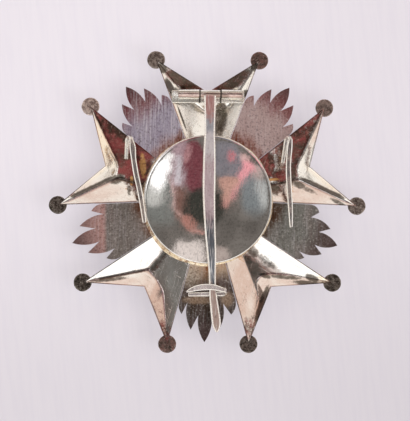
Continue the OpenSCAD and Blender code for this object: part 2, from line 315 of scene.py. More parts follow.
class Graph:
    """Short names for the shader nodes of a material or the world."""

    def __init__(self, owner):
        owner.use_nodes = True
        self.owner = owner
        self.nodes, self.links = owner.node_tree.nodes, owner.node_tree.links
        self.nodes.clear()

    def add(self, kind, settings=None, inputs=None, output=0):
        node = self.nodes.new(kind)
        for key, value in (settings or {}).items():
            setattr(node, key, value)
        for key, value in (inputs or {}).items():
            if isinstance(value, bpy.types.NodeSocket):
                self.links.new(value, node.inputs[key])
            else:
                node.inputs[key].default_value = value
        return node.outputs[output] if node.outputs else None

    def math(self, operation, *values):
        return self.add("ShaderNodeMath", {"operation": operation}, dict(enumerate(values)))

    def plus(self, a, b):
        return self.math("ADD", a, b)

    def minus(self, a, b):
        return self.math("SUBTRACT", a, b)

    def swing(self, value, size):
        """Noise moved from round a half to round nought, and so many times as large."""
        return self.times(self.minus(value, 0.5), size)

    def squares(self, a, b):
        """The sum of two squares."""
        return self.plus(self.times(a, a), self.times(b, b))

    def near(self, value, place, far, close):
        """1 where value is within close of a place, down to 0 where it is far from it."""
        return self.step(self.math("ABSOLUTE", self.minus(value, place)), far, close)

    def times(self, *values):
        result = values[0]
        for value in values[1:]:
            result = self.math("MULTIPLY", result, value)
        return result

    def step(self, value, low, high, to_low=0, to_high=1):
        """A smooth step as value goes from low to high, which may be the larger."""
        if low > high:
            low, high, to_low, to_high = high, low, to_high, to_low
        return self.add("ShaderNodeMapRange", {"interpolation_type": "SMOOTHSTEP"},
                        {0: value, 1: low, 2: high, 3: to_low, 4: to_high})

    def blend(self, share, a, b, kind="MIX"):
        a, b = ((*tone, 1) if isinstance(tone, tuple) else tone for tone in (a, b))
        return self.add("ShaderNodeMix", {"data_type": "RGBA", "blend_type": kind},
                        {0: share, 6: a, 7: b}, output=2)

    def place(self, stretch=(1, 1, 1), turn=0, shift=(0, 0, 0)):
        """The object's own coordinates in millimetres, turned in the plane and then stretched."""
        at = self.add("ShaderNodeTexCoord", output=3)
        turned_at = self.add("ShaderNodeMapping", {}, {0: at, 1: shift, 2: (0, 0, radians(turn)),
                                                       3: (1000, 1000, 1000)})
        return self.add("ShaderNodeVectorMath", {"operation": "MULTIPLY"}, {0: turned_at, 1: stretch})

    def noise(self, at, scale, detail, rough=0.5, twist=0):
        return self.add("ShaderNodeTexNoise", {}, {"Vector": at, "Scale": scale, "Detail": detail,
                                                   "Roughness": rough, "Distortion": twist})

    def attribute(self, name):
        return self.add("ShaderNodeAttribute", {"attribute_name": name}, output=2)

    def split(self, vector):
        return self.add("ShaderNodeSeparateXYZ", {}, {0: vector}).node.outputs

    def bump(self, height, reach_mm, strength=1):
        reach = reach_mm * MM
        return self.add("ShaderNodeBump", {}, {"Strength": strength, "Distance": reach, "Height": height})


def color(r, g, b):
    """An sRGB colour from 0 to 255 as a linear one."""
    def linear(value):
        value /= 255
        return value / 12.92 if value < 0.04045 else ((value + 0.055) / 1.055) ** 2.4
    return linear(r), linear(g), linear(b)


def start_material(name):
    return Graph(bpy.data.materials.new(name))


def finish_metal(g, base, roughness, height, bump_mm, metallic=1):
    """Ends a metal with a bump of so many millimetres from height, and returns it."""
    shader = g.add("ShaderNodeBsdfPrincipled", {},
                   {"Base Color": base, "Metallic": metallic, "Roughness": roughness,
                    "Normal": g.bump(height, bump_mm)})
    g.add("ShaderNodeOutputMaterial", {}, {0: shader})
    return g.owner


def scratches(g, turn, length=9, width=0.22, share=0.62):
    """Fine straight scratches: 0 to 1."""
    lines = g.noise(g.place((1 / width, 1 / length, 1), turn, (turn, 0, 0)), 1, 3, 0.6)
    return g.step(lines, share, share + 0.12)


SILVER = (0.93, 0.905, 0.875)
DEEP_BROWN = (0.085, 0.045, 0.035)
CRIMSON = (0.25, 0.065, 0.062)
ROSE = (0.38, 0.19, 0.16)
GOLD = (0.62, 0.33, 0.13)
# Painted shade on the arms, with dark tarnish
OLIVE = (0.1, 0.08, 0.062)
# Painted pink reflection
PINK_REFLECTION = (0.78, 0.62, 0.56)
# Painted cream highlight
CREAM_HIGHLIGHT = (0.95, 0.82, 0.66)
# Painted highlight, nearly white
MATTE_HIGHLIGHT = (0.97, 0.95, 0.91)
# The deepest painted shade on the arms
DEEP_SHADE_BROWN = (0.04, 0.026, 0.022)


def arm_material():
    g = start_material("pressed_silver_back")
    at = g.place()
    cloud = g.noise(at, 0.16, 4, 0.6, 0.4)
    grain = g.noise(at, 0.9, 5, 0.65)
    speck = g.noise(at, 2.4, 3, 0.75)
    base = g.blend(g.step(cloud, 0.35, 0.75, 0, 0.35), SILVER, (0.8, 0.7, 0.64))
    # Painted pink reflections and cream highlights in the base colour
    for key, tone in (("pink_reflection", PINK_REFLECTION), ("cream_highlight", CREAM_HIGHLIGHT)):
        base = g.blend(g.times(g.attribute(key), g.step(grain, 0.2, 0.6, 0.6, 1)), base, tone)
    # Painted highlight: nearly white patches, less metallic and rougher so that they catch the lamps
    matte_highlight = g.times(g.attribute("matte_highlight"), g.step(grain, 0.3, 0.6, 0.45, 1))
    base = g.blend(matte_highlight, base, MATTE_HIGHLIGHT)
    uneven = g.plus(g.swing(grain, 1.1), g.swing(speck, 0.8))
    patch = g.step(g.plus(g.attribute("stain"), uneven), 0.2, 0.75)
    brown = g.blend(g.step(g.noise(at, 0.28, 3, 0.6, 0.5), 0.42, 0.6), DEEP_BROWN, CRIMSON)
    brown = g.blend(g.step(grain, 0.52, 0.72, 0, 0.75), brown, ROSE)
    base = g.blend(patch, base, brown)
    # Gold: solder stains by the disc, and painted glints beside the side hooks
    base = g.blend(g.step(g.plus(g.attribute("gold_stain_and_glint"), uneven), 0.45, 1), base, GOLD)
    # Painted shade along the folds and in dark patches, with some dark tarnish
    dark = g.step(g.plus(g.attribute("shade_and_tarnish"), g.times(uneven, 0.6)), 0.3, 0.8, 0, 0.93)
    base = g.blend(dark, base, g.blend(g.step(g.attribute("shade_and_tarnish"), 0.8, 1), OLIVE, DEEP_SHADE_BROWN))
    fleck = g.step(speck, 0.6, 0.68)
    base = g.blend(g.times(fleck, g.math("MAXIMUM", patch, dark), 0.42), base, (0.7, 0.56, 0.46))
    scratch = g.math("MAXIMUM", scratches(g, 17), scratches(g, -62, 7, 0.2, 0.64))
    base = g.blend(g.times(scratch, 0.4), base, (0.55, 0.48, 0.43))
    rough = g.plus(g.step(grain, 0.35, 0.75, 0.07, 0.17), g.times(patch, 0.2))
    rough = g.plus(rough, g.plus(g.times(scratch, 0.14), g.times(matte_highlight, 0.25)))
    metallic = g.minus(1, g.times(matte_highlight, 0.7))
    height = g.plus(g.noise(at, 0.12, 1), g.times(grain, 0.09))
    height = g.plus(height, g.times(scratch, -0.05))
    return finish_metal(g, base, rough, height, 0.35, metallic)


def ball_material():
    """The flat backs of the balls: tone goes from dark to light and stain adds red."""
    g = start_material("ball_back")
    at = g.place()
    spots = g.noise(at, 1.1, 5, 0.75, 0.6)
    speck = g.noise(at, 3, 3, 0.7)
    light = g.blend(g.attribute("tone"), (0.16, 0.14, 0.12), (0.85, 0.72, 0.66))
    dark = g.blend(g.attribute("tone"), (0.03, 0.027, 0.022), (0.3, 0.22, 0.2))
    base = g.blend(g.step(spots, 0.4, 0.62), dark, light)
    red = g.step(g.plus(g.attribute("stain"), g.swing(spots, 1.5)), 0.4, 0.9)
    base = g.blend(g.times(red, 0.8), base, (0.24, 0.09, 0.08))
    base = g.blend(g.step(speck, 0.61, 0.68, 0, 0.8), base, (0.85, 0.8, 0.74))
    # The round front of a ball is polished
    front = g.step(g.split(at)["Z"], 5.3, 5)
    base = g.blend(front, base, SILVER)
    rough = g.minus(g.step(spots, 0.3, 0.7, 0.34, 0.5), g.times(front, 0.25))
    return finish_metal(g, base, rough, spots, 0.12)


def fan_material(name, body, tips, root, seed, streak, root_reach=22.5, tip_edge=None, warm=()):
    """A flat fan: tones for its middle, the tips of its rays and the part by the disc, up to
    root_reach. tip_edge is how far out along -X the tips' tone starts on a fan with an upright edge
    there. warm gives the place, reach and tone of patches."""
    g = start_material(name)
    at = g.place()
    xyz = g.split(at)
    r = g.math("SQRT", g.squares(xyz["X"], xyz["Y"]))
    cloud = g.noise(g.place((1, 0.45, 1), 0, (seed, 0, 0)), 0.17, 4, 0.62, 0.8)
    grain = g.noise(at, 1.9, 4, 0.75)
    lines = g.noise(g.place((2.6, 0.13, 1), 1.5, (seed, 0, 0)), 1, 3, 0.65)
    wobble = g.swing(cloud, 7)
    if tip_edge:
        leftwards = g.plus(g.times(xyz["X"], -1), g.times(wobble, 0.12))
        to_tip = g.step(leftwards, tip_edge, tip_edge + 1.4)
    else:
        to_tip = g.step(g.plus(r, wobble), 27.5, 34.5)
    to_root = g.step(g.plus(r, wobble), root_reach, 18)
    base = g.blend(to_tip, body, tips)
    base = g.blend(to_root, base, root)
    base = g.blend(g.step(cloud, 0.4, 0.7, 0, 0.35), base, (0.3, 0.24, 0.24), "SCREEN")
    base = g.blend(g.times(to_root, g.step(cloud, 0.55, 0.4)), base, (0.5, 0.25, 0.12), "MULTIPLY")
    base = g.blend(g.step(lines, 0.45, 0.7, 0, 0.6 * streak), base, (0.85, 0.84, 0.9))
    base = g.blend(g.step(lines, 0.48, 0.25, 0, 0.6 * streak), base, (0.16, 0.07, 0.075))
    base = g.blend(g.step(grain, 0.54, 0.68, 0, 0.5), base, (0.8, 0.78, 0.74))
    base = g.blend(g.step(grain, 0.48, 0.34, 0, 0.6), base, (0.05, 0.035, 0.03))
    outwards = g.plus(r, g.times(wobble, 0.6))
    base = g.blend(g.step(outwards, 30, 41, 0, 0.8), base, (0.07, 0.04, 0.04))
    for cx, cy, reach_x, reach_y, light in warm:
        across = g.math("DIVIDE", g.minus(xyz["X"], cx), reach_x)
        up = g.math("DIVIDE", g.minus(xyz["Y"], cy), reach_y)
        away = g.squares(across, up)
        share = g.step(g.plus(away, g.times(wobble, 0.25)), 1.6, 0.1, 0, 0.7)
        base = g.blend(share, base, g.blend(g.step(grain, 0.25, 0.75), (0.24, 0.16, 0.1), light))
    rough = g.step(grain, 0.3, 0.75, 0.3, 0.44)
    height = g.plus(g.times(lines, 0.3), g.times(grain, 0.35))
    height = g.plus(height, g.noise(at, 0.14, 1))
    return finish_metal(g, base, rough, height, 0.16, metallic=0.72)


def disc_material():
    g = start_material("polished_disc")
    at = g.place()
    cloud = g.noise(at, 0.13, 4, 0.6, 0.5)
    grain = g.noise(at, 1.4, 4, 0.7)
    brush = g.noise(g.place((1.6, 0.35, 1), 12), 1, 4, 0.7)
    scratch = g.math("MAXIMUM", scratches(g, 8, 12, 0.2, 0.6), scratches(g, 71, 8, 0.18, 0.64))
    base = g.blend(g.step(cloud, 0.35, 0.7, 0, 0.5), SILVER, (0.72, 0.68, 0.66))
    base = g.blend(g.times(scratch, 0.5), base, (0.6, 0.56, 0.54))
    base = g.blend(g.step(brush, 0.5, 0.7, 0, 0.35), base, (0.62, 0.6, 0.58))
    base = g.blend(g.step(grain, 0.52, 0.36, 0, 0.45), base, (0.5, 0.47, 0.45))
    rough = g.plus(g.step(grain, 0.3, 0.75, 0.04, 0.1), g.times(scratch, 0.12))
    height = g.plus(g.times(g.noise(at, 0.1, 1.5), 0.3), g.times(brush, 0.014))
    height = g.plus(height, g.times(grain, 0.012))
    return finish_metal(g, base, rough, height, 0.3)


def solder_material():
    g = start_material("solder")
    at = g.place()
    cloud = g.noise(at, 0.5, 4, 0.65, 0.6)
    base = g.blend(g.step(cloud, 0.42, 0.66), (0.84, 0.7, 0.5), (0.36, 0.19, 0.12))
    fleck = g.step(g.noise(at, 2.2, 2), 0.52, 0.66)
    base = g.blend(g.times(fleck, 0.8), base, (0.95, 0.88, 0.74))
    return finish_metal(g, base, g.step(cloud, 0.3, 0.7, 0.16, 0.4), g.noise(at, 0.9, 4, 0.6), 0.25)


def fitting_material(name, tone, worn, turn, rough_low, rough_high, metallic):
    """Worn silver of the pin, hinge and hooks, with fine lines along it."""
    g = start_material(name)
    at = g.place()
    cloud = g.noise(at, 0.22, 4, 0.6, 0.6)
    grain = g.noise(at, 1.7, 4, 0.7)
    lines = g.noise(g.place((3.4, 0.2, 1), turn), 1, 3, 0.6)
    base = g.blend(g.step(cloud, 0.35, 0.68), tone, worn)
    base = g.blend(g.step(lines, 0.45, 0.72, 0, 0.35), base, (0.93, 0.91, 0.9))
    base = g.blend(g.times(g.step(grain, 0.6, 0.75), 0.25), base, (0.4, 0.3, 0.27))
    rough = g.step(grain, 0.3, 0.75, rough_low, rough_high)
    height = g.plus(g.times(lines, 0.4), g.times(grain, 0.3))
    return finish_metal(g, base, rough, height, 0.07, metallic)


def hinge_material():
    """Silver of the hinge, with a painted reflection, brown with a dark line, along the tops of its tubes
    and painted shade in the gaps.
    """
    g = start_material("hinge_silver")
    at = g.place()
    xyz = g.split(at)
    cloud = g.noise(g.place((0.35, 1, 1)), 0.5, 4, 0.6, 0.6)
    grain = g.noise(at, 1.7, 4, 0.7)
    base = g.blend(g.step(grain, 0.4, 0.7), (0.95, 0.93, 0.88), (0.8, 0.74, 0.64))
    # Painted reflection: a brown band and a dark line along the tops of the tubes
    on_tube = g.step(xyz["Z"], 7.6, 8)
    y = g.plus(xyz["Y"], g.swing(cloud, 0.5))
    core = g.near(y, AXIS_Y - 0.45, 0.75, 0.45)
    core_tone = g.blend(g.step(cloud, 0.42, 0.62), (0.3, 0.19, 0.16), (0.7, 0.52, 0.48))
    base = g.blend(g.times(core, on_tube, 0.9), base, core_tone)
    line = g.near(y, AXIS_Y + 0.5, 0.2, 0.08)
    base = g.blend(g.times(line, on_tube, 0.8), base, (0.12, 0.08, 0.06))
    # Painted shade in the gaps between the tubes and the pin's knuckle
    for gap_x in (-2.38, 3.58):
        gap = g.near(xyz["X"], gap_x, 0.34, 0.16)
        base = g.blend(g.times(gap, 0.9), base, (0.07, 0.06, 0.05))
    rough = g.step(grain, 0.3, 0.75, 0.12, 0.26)
    return finish_metal(g, base, rough, grain, 0.03, 0.9)


def pin_material():
    """The flat of the blade, whose painted reflections change on the way from the hinge to the point."""
    g = start_material("pin_silver")
    at = g.place()
    cloud = g.noise(at, 0.3, 4, 0.6, 0.6)
    grain = g.noise(at, 1.7, 4, 0.7)
    lines = g.noise(g.place((3.4, 0.2, 1)), 1, 3, 0.6)
    y = g.plus(g.split(at)["Y"], g.swing(cloud, 9))
    base = (0.68, 0.56, 0.6)
    # Painted reflections: bands of light, blue-grey, pink and dark along the blade
    for begin, full, tone in (
        (9, 14, (0.78, 0.76, 0.79)), (17.5, 20, (0.46, 0.49, 0.54)), (22, 24.5, (0.56, 0.32, 0.3)),
        (-2.5, -5.5, (0.44, 0.34, 0.37)), (-6, -8.5, (0.13, 0.145, 0.17)), (-22.5, -24, (0.56, 0.43, 0.38)),
    ):
        base = g.blend(g.step(y, begin, full), base, tone)
    base = g.blend(g.step(lines, 0.48, 0.66, 0, 0.5), base, (0.92, 0.9, 0.9))
    base = g.blend(g.step(grain, 0.46, 0.3, 0, 0.5), base, (0.16, 0.1, 0.09))
    rough = g.step(grain, 0.3, 0.75, 0.3, 0.46)
    height = g.plus(g.times(lines, 0.4), g.times(grain, 0.3))
    return finish_metal(g, base, rough, height, 0.07, 0.7)


def dark_material():
    g = start_material("tarnished_silver")
    at = g.place()
    cloud = g.noise(at, 0.3, 4, 0.65, 0.5)
    base = g.blend(g.step(cloud, 0.35, 0.7), (0.3, 0.22, 0.17), (0.52, 0.46, 0.41))
    return finish_metal(g, base, g.step(cloud, 0.3, 0.7, 0.28, 0.48), g.noise(at, 1.4, 4, 0.6), 0.1)


def front_material():
    """The hidden front: plain turned silver with fine rings."""
    g = start_material("turned_front")
    at = g.place()
    xyz = g.split(at)
    r = g.math("SQRT", g.squares(xyz["X"], xyz["Y"]))
    rings = g.noise(g.add("ShaderNodeCombineXYZ", {}, {0: g.times(r, 5)}), 1, 2)
    cloud = g.noise(at, 0.2, 4, 0.6)
    base = g.blend(g.step(cloud, 0.35, 0.7), SILVER, (0.62, 0.55, 0.48))
    return finish_metal(g, base, g.step(rings, 0.3, 0.7, 0.2, 0.34), rings, 0.05)


ARM_METAL = arm_material()
BALL_METAL = ball_material()
DISC_METAL = disc_material()
SOLDER = solder_material()
DARK_METAL = dark_material()
FRONT_METAL = front_material()
# The bevels of the pin and hooks get this bright silver and their flats darker tones: lit and shaded copies
# of one silver, with painted shade on the flats
EDGE_METAL = fitting_material("bevel_silver", (0.97, 0.95, 0.92), (0.9, 0.85, 0.79), 0, 0.2, 0.34, 0.8)
# Painted shade: the dark flat tops of the side hooks
CORE_METAL = fitting_material("hook_core", (0.3, 0.3, 0.31), (0.78, 0.73, 0.67), 0, 0.16, 0.3, 0.85)
CATCH_METAL = fitting_material("catch_core", (0.95, 0.9, 0.89), (0.36, 0.31, 0.3), 90, 0.18, 0.34, 0.68)
PIN_METAL = pin_material()
HINGE_METAL = hinge_material()


# Lines across one point of an arm: shares of the way round the root, along the outer edge and
# along the fold, as in the frame
ARM_LINES = [
    (0, 0, 0), (0.2, 0, 0.05), (0.45, 0, 0.12), (0.75, 0, 0.22), (1, 0, 0.33), (1, 0.3, 0.46),
    (1, 0.52, 0.6), (1, 0.7, 0.73), (1, 0.84, 0.85), (1, 0.93, 0.93), (1, 0.985, 0.985),
]
ROWS_BETWEEN = 8
NOTCH_COLUMNS = 12
OUTER_COLUMNS = 30
RIM_ROUNDING = 0.12

# Soft oval patches on the arms: x, y, reach along x and y before the turn, turn, strength.
# STAINS stop at the folds round the notches and NOTCH_STAINS don't
STAINS = [
    (-26.5, 17.5, 11, 5.5, -48, 1.1), (-20, 11, 5, 9, 0, 1.05), (-36, 25, 6, 3, -60, 0.95),
    (-24, 10, 5, 4, 0, 0.85), (25.5, 16, 5.5, 5.5, 48, 0.95), (15.5, 9.8, 4.2, 5, 0, 1.15),
    (30.4, 22.9, 8.5, 2.4, 60, 0.7), (24.5, 10, 4, 5, 0, 0.75), (20.8, 13.4, 3.6, 4.5, 0, 0.58),
    (20.8, 7, 3.6, 2.4, 0, 0.8), (27.4, 19.8, 4, 2.6, 50, 0.8), (-39, 12.2, 4.5, 2, 10, 0.75),
    (-11.7, -37.5, 2.2, 4, 15, 0.5), (11.5, -36.5, 2.4, 4.5, -15, 0.55), (10, -29, 2, 4, -15, 0.2),
    (-14.2, -18.5, 1, 4, -38, 0.5),
]
NOTCH_STAINS = [
    (-6.5, 33.4, 7.5, 2.2, -31, 0.95), (6.5, 33.4, 7.5, 2.4, 31, 0.8), (-12.3, -37.5, 1.8, 4, 15, 0.6),
    (-14, -31, 1.5, 4, 18, 0.25), (12, -37.5, 2, 4, -15, 0.4), (36.5, 28.5, 2.4, 1.6, 60, 0.7),
    (-39.3, 1.3, 2.6, 1.1, 15, 0.5), (19.6, 3.2, 2.4, 2.4, 0, 0.6),
]
# Painted pink reflections on the arms
PINK_REFLECTIONS = [
    (-26, -23.4, 9, 1.4, 3, 0.9), (-15, -29, 4.5, 10, 18, 0.9), (9.5, -25, 4.2, 14, -14, 0.8),
    (26, -23.4, 10, 1.4, -4, 0.9), (15.6, -27, 3.2, 8, -17, 0.85), (29, 1.8, 10, 3.2, 0, 0.8),
    (-32, 2.4, 9, 3, 0, 0.6), (34, 23.5, 6, 4, 60, 0.9), (-9.5, 20, 2.5, 7, 0, 0.3),
    (21, 12, 1.6, 4.5, 0, 0.8), (31.6, 20.6, 6, 1.2, 66, 0.9),
]
# Painted cream highlights on the arms
CREAM_HIGHLIGHTS = [
    (-30, 16, 2.6, 8.5, 26, 0.9), (-33.5, 6.6, 8, 1.5, 33, 0.7), (33, 6, 7, 1.2, -37, 0.5),
    (-8, 22, 1.2, 6, 20, 0.5), (33, -23, 2.6, 1, -38, 1),
]
# Painted highlights on the arms, nearly white and less metallic
MATTE_HIGHLIGHTS = [
    (-5.4, 24.2, 2.6, 4.6, 20, 0.85), (7.2, 23.2, 1.7, 6.5, -20, 1), (-7, 19.5, 1.5, 3, 20, 0.6),
]
# Gold solder stains by the disc, and painted glints beside the side hooks
GOLD_STAINS_AND_GLINTS = [
    (-18.4, 9.8, 1.2, 4.5, 5, 0.9), (9.7, -16.7, 2.4, 0.9, -30, 0.75), (-21.6, 5.4, 0.6, 2, 0, 0.95),
    (18.8, 5.9, 2.4, 0.5, 4, 0.95), (20.8, 11.6, 0.8, 3.8, 0, 0.6), (-13.2, -13.2, 4.5, 0.8, 45, 0.5),
    (12.2, -14.6, 5, 0.8, -40, 0.5), (-28, 12.6, 1, 3.4, 30, 0.62), (-23.2, 2.3, 0.5, 3, 0, 0.6),
    (24.2, 3, 0.7, 3.2, 0, 0.62),
]
# Painted shade on the arms, with some dark tarnish
SHADE_AND_TARNISH_PATCHES = [
    (-18.5, 3.2, 2.2, 1.3, 0, 0.85), (18.8, 3.8, 2.2, 1.6, 0, 0.8), (19.2, 2, 1.5, 1.1, 0, 0.7),
    (25.5, 14.5, 2.4, 3, 12, 0.6), (24.3, 7.5, 1.6, 4.5, 0, 0.65), (-12.6, -14.8, 1.5, 1.3, 40, 0.6),
    (-26.5, 20.5, 8, 0.6, -37, 0.5), (-25, 11.5, 2.4, 4.5, 0, 0.45), (-13.1, 37.4, 1.7, 2.1, 20, 0.85),
    (-10.7, 32, 1.15, 3.2, 27, 1.05), (13.3, 37.9, 1.5, 1.7, 0, 0.8), (-7.2, 33.9, 7.5, 2.1, -31, 0.66),
    (7.4, 33.9, 7.5, 2.3, 31, 0.66), (10.8, 30.3, 1.3, 1.3, 0, 0.9), (34.5, -23.8, 4.5, 0.8, -8, 0.7),
    (15.3, -29.8, 1.1, 6.5, -18, 1), (29.6, -22.2, 2.6, 1.2, -24, 0.85), (16.8, -17.4, 4.5, 1.4, -39, 0.56),
    (12.8, -14.6, 2.6, 1.7, -40, 0.75), (21.8, -21.9, 6, 0.75, -5, 0.75), (28.4, -23.7, 5.2, 0.9, -6, 0.85),
    (16.4, -21.5, 2.2, 0.9, -18, 0.75), (-28, -22.7, 6.5, 0.7, 6, 0.72), (26.2, 4.4, 2.5, 1.3, -25, 0.75),
    (28.6, 3.1, 3.4, 0.9, -27, 0.62), (-25.6, 5.9, 2.8, 1.6, 25, 0.8), (37, -0.6, 3, 0.8, -27, 0.7),
    (-9, 31, 1.1, 1.5, 20, 0.8), (3.7, 22.8, 2.5, 6.5, -5, 0.7), (-7.35, 23.2, 0.36, 4.6, 20, 0.95),
    (-22.3, 2.4, 0.7, 2.4, 0, 0.7), (11.2, -15.4, 2.2, 2.6, 0, 0.5),
]


def patches(spots, x, y):
    """The strongest of several soft oval patches at a place."""
    best = 0
    for cx, cy, reach_x, reach_y, turn, strength in spots:
        dx, dy = turned((x - cx, y - cy), turn)
        distance = hypot(dx / reach_x, dy / reach_y)
        if distance < 1.5:
            best = max(best, strength * (1 - smooth_step(distance, 0.45, 1.35)))
    return best


def band(line, across):
    """Painted shade of a fold's line at a place across the fold."""
    place, reach, strength = line
    return strength * exp(-((across - place) / reach) ** 2)


def arm_rows():
    rows = []
    for low, high in zip(ARM_LINES, ARM_LINES[1:]):
        rows += [mix_points(low, high, k / ROWS_BETWEEN) for k in range(ROWS_BETWEEN)]
    return rows + [ARM_LINES[-1]]


def arm_line(shares, side):
    root, edge, point = shares
    inner = mix_points((0, NOTCH_R), TIP, point)
    fold = mix_points((0, FORK_R), TIP, point)
    outer = mix_points(polar(ROOT_R, ARM_HALF_ANGLE * root), TIP, edge)
    line = [mix_points(inner, fold, k / NOTCH_COLUMNS) for k in range(NOTCH_COLUMNS)]
    line += [mix_points(fold, outer, k / OUTER_COLUMNS) for k in range(OUTER_COLUMNS + 1)]
    return [(side * x, y) for x, y in line]


def arm_sheet(shape):
    """Points and faces of the pressed sheet of an arm, with rounded rims."""
    rows = arm_rows()
    grid = [arm_line(row, -1) for row in reversed(rows[1:])] + [arm_line(row, 1) for row in rows]
    last_i, last_j = len(grid) - 1, len(grid[0]) - 1
    loop = [(0, j) for j in range(last_j)] + [(i, last_j) for i in range(last_i)]
    loop += [(last_i, j) for j in range(last_j, 0, -1)] + [(i, 0) for i in range(last_i, 0, -1)]
    top = [list(row) for row in grid]
    for i, j in loop:
        p = Vector(grid[i][j])
        q = Vector(grid[min(max(i, 1), last_i - 1)][min(max(j, 1), last_j - 1)])
        way = q - p
        top[i][j] = tuple(p + way * min(0.5, RIM_ROUNDING / way.length))
    columns = last_j + 1
    points = [(x, y, RIM_Z - trough(x, y, shape)) for row in top for x, y in row]
    rim = [(*grid[i][j], RIM_Z - trough(*grid[i][j], shape)) for i, j in loop]
    count = len(points)
    points += [(x, y, z - ARM_T) for x, y, z in points]
    upper = len(points)
    points += [(x, y, z - RIM_ROUNDING) for x, y, z in rim]
    lower = len(points)
    points += [(x, y, z - ARM_T + RIM_ROUNDING) for x, y, z in rim]
    faces = []
    for i in range(last_i):
        for j in range(last_j):
            a = i * columns + j
            faces.append((a, a + columns, a + columns + 1, a + 1))
            faces.append((count + a, count + a + 1, count + a + columns + 1, count + a + columns))
    for k, (i, j) in enumerate(loop):
        next_k = (k + 1) % len(loop)
        a = i * columns + j
        b = loop[next_k][0] * columns + loop[next_k][1]
        faces.append((a, b, upper + next_k, upper + k))
        faces.append((upper + k, upper + next_k, lower + next_k, lower + k))
        faces.append((lower + k, lower + next_k, count + b, count + a))
    return points, faces


def ball(side, number):
    """A half ball with a flat, slightly uneven back."""
    flat = ((0, 0.05), (1.2, 0.03), (2.1, 0), (2.4, 0.03), (2.55, 0.14))
    profile = [(r, BALL_FLAT_Z - dip) for r, dip in flat]
    for k in range(1, 12):
        angle = radians(6 + 84 * k / 12)
        profile.append((BALL_R * cos(angle), BALL_FLAT_Z - BALL_R * sin(angle)))
    profile.append((0, BALL_FLAT_Z - BALL_R))
    seed = number * 2 + side

    def place(r, h, a):
        c, s = cos(a), sin(a)
        uneven = 1 - 0.035 * abs(lumps(c * 3, s * 3, 2, seed)) * smooth_step(r, 1.5, 2.4)
        return (side * TIP[0] + r * uneven * c, TIP[1] + r * uneven * s, h)

    return revolve(profile, 48, place=place)


# Lightness and redness of the left and right ball of each arm
BALL_TONES = [
    ((0.35, 0), (0.2, 0.6)), ((0.5, 0.5), (0.3, 0.1)), ((0.08, 0), (0.12, 0.4)),
    ((0.25, 0.6), (0.06, 0)), ((0.1, 0.2), (0.9, 0.1)),
]


def make_arm(number):
    shape = ARM_SHAPES[number - 1]
    sheet_points, sheet_faces = arm_sheet(shape)
    turn = (number - 1) * ARM_STEP
    points, faces = joined([(sheet_points, sheet_faces), ball(-1, number), ball(1, number)])
    values = {}
    placed = []
    for i, (x, y, z) in enumerate(points):
        gx, gy = turned((x, y), turn)
        placed.append((gx, gy, z))
        side = 0 if x < 0 else 1
        from_left, from_right, notch = depths(x, y, shape)
        outer = min(from_left, from_right)
        on_outer = smooth_step(notch - outer, -0.5, 0.3)
        ripple = 0.5 + 0.5 * lumps(gx, gy, 3, 1)
        root = 1 - smooth_step(hypot(gx, gy) + 1.2 * ripple, 18, 19.2)
        inside = smooth_step(outer + notch, 0.3, 1.8)
        # fold and crease are painted shade along the folds
        fold = inside * smooth_step(abs(x), 0.3, 3.2) * band(shape["bands"][side], outer - notch)
        crease = on_outer * smooth_step(y, NOTCH_R - 2, NOTCH_R - 5)
        crease *= band(shape["crease"], from_left - from_right)
        look = {
            "stain": max(patches(STAINS, gx, gy) * on_outer, patches(NOTCH_STAINS, gx, gy)),
            "gold_stain_and_glint": max(patches(GOLD_STAINS_AND_GLINTS, gx, gy), 0.7 * root),
            "shade_and_tarnish": max(fold, crease, patches(SHADE_AND_TARNISH_PATCHES, gx, gy)),
            "pink_reflection": patches(PINK_REFLECTIONS, gx, gy),
            "cream_highlight": patches(CREAM_HIGHLIGHTS, gx, gy),
            "matte_highlight": patches(MATTE_HIGHLIGHTS, gx, gy),
            "tone": 0,
        }
        if i >= len(sheet_points):
            look["tone"], look["stain"] = BALL_TONES[number - 1][side]
        for key, value in look.items():
            values.setdefault(key, []).append(value)
    materials = [0] * len(sheet_faces) + [1] * (len(faces) - len(sheet_faces))
    make_piece(f"pressed_arm_{number}", placed, faces, [ARM_METAL, BALL_METAL],
               stands_for=[f"arm_{number}"], face_materials=materials, sharp=40, attributes=values)


for arm_number in range(1, ARMS + 1):
    make_arm(arm_number)


def dress(node, material, bevel_mm):
    """Gives a solid of the frame a material and soft edges."""
    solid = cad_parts[node]
    solid.data.materials.clear()
    solid.data.materials.append(material)
    bevel = solid.modifiers.new("soft_edges", "BEVEL")
    bevel.width = bevel_mm * MM
    bevel.segments = 2
    bevel.limit_method = "ANGLE"
    bevel.angle_limit = radians(40)


# Names and tones of the fans in fan_material's order. The tones paint the reflections each fan shows,
# as well as its tarnish; the light root of fan_bottom and its pale patch left of the pin are painted
# reflections.
WARM = (0.66, 0.5, 0.36)
FAN_TONES = [
    ("fan_upper_right", color(204, 180, 178), color(158, 100, 100), color(176, 126, 118), 3, 0.3),
    ("fan_right", color(132, 134, 128), color(104, 92, 88), color(112, 106, 96), 11, 0.25),
    ("fan_bottom", color(74, 60, 48), color(62, 54, 46), color(242, 212, 178), 23, 0.3, 25.5, None,
     ((5.4, -28.2, 1.9, 2.3, WARM), (-2.6, -28.4, 4.6, 1.2, WARM),
      # painted reflection: the pale patch left of the pin
      (-5.2, -21.6, 3, 3.6, (1, 0.92, 0.78)))),
    ("fan_left", color(132, 126, 120), color(200, 158, 152), color(150, 122, 104), 37, 0.3, 22.5, 28.2),
    ("fan_upper_left", color(182, 176, 198), color(146, 84, 90), color(186, 134, 118), 53, 1),
]
for fan_number, tones in enumerate(FAN_TONES, 1):
    dress(f"ray_fan_{fan_number}", fan_material(*tones), 0.1)
dress("collar", DARK_METAL, 0.06)
dress("front_medallion", FRONT_METAL, 0.12)
